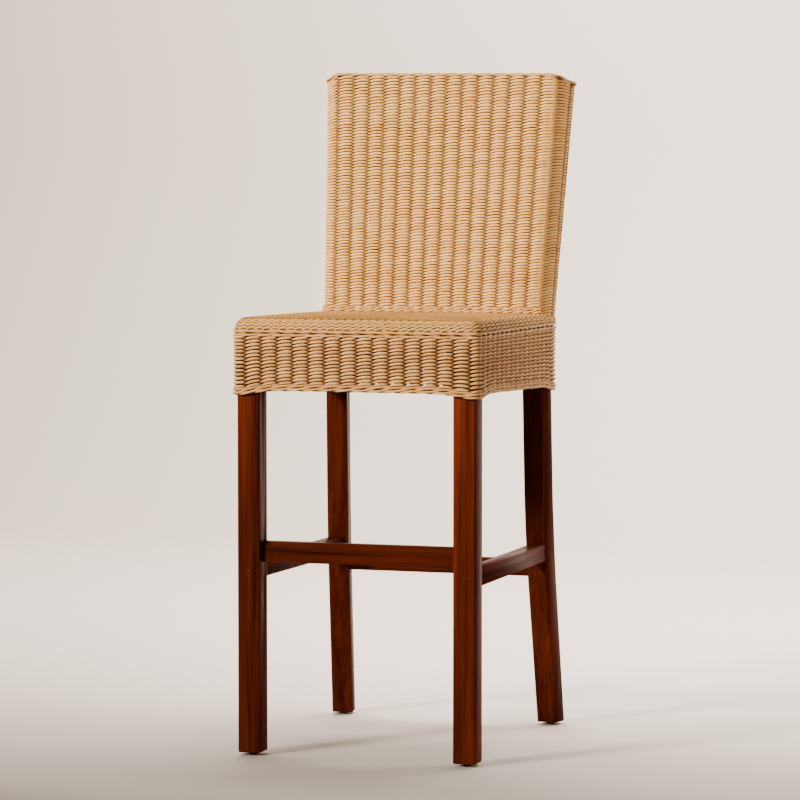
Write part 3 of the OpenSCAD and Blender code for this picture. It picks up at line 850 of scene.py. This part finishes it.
seat = {
    "edge": 0.015,               # radius of the rounded edges
    "rowPitch": 0.0054,
    "swing": 0.0016,
    "radius": 0.0026,
    "stakes": 30,
    "stepsPerStake": 5,
    "middleStake": 8.5,          # the stakes' count at the middle of a row
    "rowWeave": {"Rise": 0.0010, "Nest": 0.0012, "Sides": 5},
    "crown": 0.0015,
    "fullness": 0.0042,          # the seat stands higher towards its front
    "tuck": 0.006,               # how far the flat rows' ends go in under the edge rows
    "tuckDrop": 0.003,
    "edgeRows": 4,
    "edgeStart": 0.0018,         # arc length from the side faces' top to the first edge row
    "edgeSwing": 0.0023,
    "edgeCorner": 0.016,         # radius of the corners, seen from above
    "edgeWeave": {"Rise": 0.0011, "Nest": 0.0015, "Radius": 0.0024, "Seed": 53},
    "press": 0.4,                # the edge strands lie flatter along the front
    "pressReach": 0.004,
}


def seatFill(y):
    return seat["fullness"] * (1 - depthShare(y) ** 2)


def seatEdgeLoop(arc, top):
    # a line round the seat's left, front and right edges, at an arc length up the rounding
    radius = seat["edge"]
    a = min(arc / radius, math.pi / 2)
    sink = seat["edgeSwing"] + seat["radius"]
    inset = radius * (1 - math.cos(a)) + sink * math.cos(a)
    height = top - radius * (1 - math.sin(a)) - sink * math.sin(a)
    shares = [*skirt["shares"][:3], 2 * skirt["shares"][3]]
    path, outward = loop(skirtRing(inset), shares, seat["edgeCorner"] - inset / 2)[:2]
    path[:, 2] = height + seatFill(path[:, 1]) * math.sin(a)
    outward = outward * math.cos(a) + np.array([0.0, 0.0, math.sin(a)])
    first = sum(shares[:2]) * cane["stepsPerStake"]
    last = shares[0] * cane["stepsPerStake"]
    path = np.vstack([path[first:], path[:last + 1]])
    outward = np.vstack([outward[first:], outward[:last + 1]])
    behind = (path[:, 1] - skirtEnds[0] - inset) / seat["pressReach"]
    relief = 1 - seat["press"] * np.clip(1 - behind, 0, 1)
    return path, outward, np.arange(len(path)) / cane["stepsPerStake"], False, relief


def seatRow(y, half, top):
    # one strand line from side to side at a constant y, its ends tucked down
    step = 2 * halfWidths[0] / seat["stakes"] / seat["stepsPerStake"]
    count = int(half / step)
    path, stakes = [], []
    for i in range(-count, count + 1):
        x = i * step
        rise = seat["crown"] * (1 - (x / half) ** 2) + seatFill(y)
        end = max(0.0, abs(x) - (half - seat["tuck"])) / seat["tuck"]
        path.append((x, y, top + rise - seat["tuckDrop"] * end ** 2))
        stakes.append(seat["middleStake"] + i / seat["stepsPerStake"])
    outward = np.repeat([[0.0, 0.0, 1.0]], len(path), 0)
    return np.array(path), outward, np.array(stakes), False


def buildSeat():
    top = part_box("seat_weave")[1][2]
    front, rear = skirtEnds[0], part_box("seat_weave")[1][1]
    pitch = seat["rowPitch"]
    arcs = [seat["edgeStart"] + i * pitch for i in range(seat["edgeRows"])]
    values = {**seat["edgeWeave"], "Swing": seat["edgeSwing"]}
    weave("seatEdgeCane", [seatEdgeLoop(arc, top) for arc in arcs], values, caneEdgeFinish)
    # flat rows from where the edge rows end
    start = front + seat["edge"] + arcs[-1] + pitch - seat["edge"] * math.pi / 2
    lines = []
    for row in range(int((rear - start) / pitch) + 1):
        y = start + row * pitch
        half = mix(halfWidths[0], halfWidths[1], depthShare(y)) - seat["edge"] + seat["tuck"]
        lines.append(seatRow(y, half, top - seat["swing"] - seat["radius"]))
    middle = len(lines) // 2
    values = {**seat["rowWeave"], "Swing": seat["swing"], "Radius": seat["radius"]}
    weave("seatCaneFront", lines[:middle], {**values, "Seed": 51}, caneSeatFinish,
          ["seat_weave"])
    weave("seatCaneRear", lines[middle:], {**values, "Seed": 52}, caneSeatFinish)


buildSeat()
print("seat woven")

mahogany = {"light": (0.106, 0.0168, 0.0048), "dark": (0.013, 0.0018, 0.0004)}
innerWood = {"light": (0.42, 0.22, 0.11), "dark": (0.20, 0.09, 0.04), "contrast": 0.8, "rough": 0.6}
plugWood = {"light": (0.20, 0.045, 0.012), "dark": (0.03, 0.007, 0.003), "contrast": 1.3}
wood = {
    # The front legs are drawn lighter and the rear posts darker than one mahogany: painted light and
    # painted shade.
    "frontShade": 1.5,
    "rearShade": 0.95,
    "barShade": 1.15,
    "legEase": 0.0016,           # width of the eased edges
    "barEase": 0.0014,
    "innerEase": 0.0008,
    "sharpest": 25,              # edges with a smaller turn, in degrees, stay as they are
}


def easedCopy(node, name, finish, width, segments=3):
    # the part's own shape with its sharp edges eased
    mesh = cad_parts[node].data.copy()
    work = bmesh.new()
    work.from_mesh(mesh)
    bmesh.ops.remove_doubles(work, verts=work.verts, dist=1e-5)
    bmesh.ops.dissolve_limit(work, angle_limit=0.01, verts=work.verts, edges=work.edges)
    bmesh.ops.recalc_face_normals(work, faces=work.faces)
    work.to_mesh(mesh)
    work.free()
    mesh.materials.clear()
    source = addObject(name + "Source", mesh)
    bevel = source.modifiers.new("ease", "BEVEL")
    bevel.width = width
    bevel.segments = segments
    bevel.limit_method = "ANGLE"
    bevel.angle_limit = math.radians(wood["sharpest"])
    bevel.harden_normals = False
    source.modifiers.new("normals", "WEIGHTED_NORMAL").keep_sharp = False
    state = bpy.context.evaluated_depsgraph_get()
    eased = bpy.data.meshes.new_from_object(source.evaluated_get(state), depsgraph=state)
    eased.name = name
    eased.shade_smooth()
    bpy.data.objects.remove(source)
    bpy.data.meshes.remove(mesh)
    eased.materials.append(finish)
    return finishPiece(addObject(name, eased), [node])


def camel(node):
    words = node.split("_")
    return words[0] + "".join(word.capitalize() for word in words[1:])


def buildWood():
    legs = ["front_leg_left", "front_leg_right", "rear_post_left", "rear_post_right"]
    for i, node in enumerate(legs):
        # one mahogany, lighter on the front legs as painted light and darker on the rear posts as painted
        # shade
        shade = wood["frontShade"] if node.startswith("front") else wood["rearShade"]
        finish = woodFinish(camel(node) + "Finish", "z", shade=shade, shift=3.1 * i + 0.7, **mahogany)
        easedCopy(node, camel(node), finish, wood["legEase"])
    bars = {"footrest_bar": "x", "rear_stretcher": "x", "side_stretcher_left": "y",
            "side_stretcher_right": "y"}
    for i, (node, grain) in enumerate(bars.items()):
        finish = woodFinish(camel(node) + "Finish", grain, shade=wood["barShade"], shift=1.9 * i + 5.0,
                            **mahogany)
        easedCopy(node, camel(node), finish, wood["barEase"])
    hidden = {
        "x": ["seat_rail_front", "seat_rail_rear", "seat_batten_front", "seat_batten_rear",
              "corner_block_front_left", "corner_block_front_right", "corner_block_rear_left",
              "corner_block_rear_right", "back_rail_bottom", "back_rail_middle", "back_rail_top"],
        "y": ["seat_rail_left", "seat_rail_right"],
    }
    for grain, nodes in hidden.items():
        finish = woodFinish("innerWood" + grain.upper(), grain, shift=2.2, **innerWood)
        for node in nodes:
            easedCopy(node, camel(node), finish, wood["innerEase"], 2)


fittings = {
    "plugEase": 0.0003,
    "screwEase": 0.0001,
    "glideEase": 0.0008,
    "steel": (0.62, 0.63, 0.65),
    "plastic": (0.02, 0.018, 0.016),
}


def buildFittings():
    plugs = woodFinish("plugFinish", "y", **plugWood)
    easedCopy("screw_plugs", "screwPlugs", plugs, fittings["plugEase"], 2)
    steel = plainFinish("screwSteel", fittings["steel"], 0.32, 1.0)
    for node in ("corner_block_screws", "stretcher_screws"):
        easedCopy(node, camel(node), steel, fittings["screwEase"], 1)
    glide = plainFinish("glidePlastic", fittings["plastic"], 0.45)
    for node in ("glide_front_left", "glide_front_right", "glide_rear_left", "glide_rear_right"):
        easedCopy(node, camel(node), glide, fittings["glideEase"])


buildWood()
buildFittings()
print("wood and fittings made")

view = {
    "place": (1.9393, -5.8227, 0.9814),
    "turn": 18.509,              # degrees round from straight in front
    "dip": 3.54,                 # degrees down
    "lens": 156.58,
    "sensor": 36,
}
cameraData = bpy.data.cameras.new("camera")
cameraData.lens = view["lens"]
cameraData.sensor_width = view["sensor"]
camera = addObject("camera", cameraData)
camera.location = view["place"]
camera.rotation_euler = (math.radians(90 - view["dip"]), 0, math.radians(view["turn"]))
bpy.context.scene.camera = camera

lights = {
    "keyLight": {"place": (-2.4, -3.5, 2.7), "target": (0, 0, 1.1), "size": 0.9, "power": 25.5,
                 "colour": (1.0, 0.95, 0.87), "spread": 34},
    "fillLight": {"place": (3.4, -2.6, 1.5), "target": (0, 0, 0.6), "size": 1.8, "power": 3.5,
                  "colour": (1.0, 0.95, 0.88), "spread": 180},
    "backdropLight": {"place": (0.0, 1.2, 3.4), "target": (0, 4.0, 0.9), "size": 3.0, "power": 560,
                      "colour": (1.0, 0.94, 0.87), "spread": 162},
}
air = {"colour": (0.93, 0.84, 0.76, 1), "strength": 0.145}


def areaLight(name, place, target, size, power, colour, spread):
    data = bpy.data.lights.new(name, "AREA")
    data.energy = power
    data.spread = math.radians(spread)
    data.size = size
    data.color = colour
    light = addObject(name, data)
    light.location = place
    light.rotation_euler = (Vector(target) - Vector(place)).to_track_quat("-Z", "Y").to_euler()


for name, values in lights.items():
    areaLight(name, **values)
world = bpy.data.worlds.new("studio")
world.use_nodes = True
background = world.node_tree.nodes["Background"].inputs
background["Color"].default_value = air["colour"]
background["Strength"].default_value = air["strength"]
bpy.context.scene.world = world
print("camera and lights placed")

stage = {
    "reach": 12.0,               # to both sides and to the front
    "bend": 3.2,                 # where the floor starts to turn up
    "radius": 1.2,
    "height": 8.0,
    "colour": (0.72, 0.64, 0.56),
}


def buildPaper():
    # pale paper; cameras behind or below it look through its back
    paper = plainFinish("studioPaper", stage["colour"], 0.8)
    w = Wiring.forMaterial(paper)
    nodes = paper.node_tree.nodes
    behind = w.node("ShaderNodeNewGeometry").outputs["Backfacing"]
    seen = w.node("ShaderNodeLightPath").outputs["Is Camera Ray"]
    mixed = w.node("ShaderNodeMixShader")
    w.put(mixed.inputs[0], w.math("MULTIPLY", behind, seen))
    w.put(mixed.inputs[1], nodes["Principled BSDF"].outputs[0])
    w.put(mixed.inputs[2], w.node("ShaderNodeBsdfTransparent").outputs[0])
    w.put(nodes["Material Output"].inputs["Surface"], mixed.outputs[0])
    return paper


def buildStage():
    # a pale floor that turns up into a backdrop
    reach, bend, radius = stage["reach"], stage["bend"], stage["radius"]
    profile = [(-reach, 0.0), (bend, 0.0)]
    for a in np.linspace(0.1, 1.5, 15):
        profile.append((bend + radius * math.sin(a), radius - radius * math.cos(a)))
    profile += [(bend + radius, radius + 0.1), (bend + radius, stage["height"])]
    points = [(x, y, z) for y, z in profile for x in (-reach, reach)]
    faces = [(2 * i, 2 * i + 1, 2 * i + 3, 2 * i + 2) for i in range(len(profile) - 1)]
    mesh = bpy.data.meshes.new("studioFloor")
    mesh.from_pydata(points, [], faces)
    mesh.shade_smooth()
    mesh.materials.append(buildPaper())
    addObject("studioFloor", mesh)


buildStage()
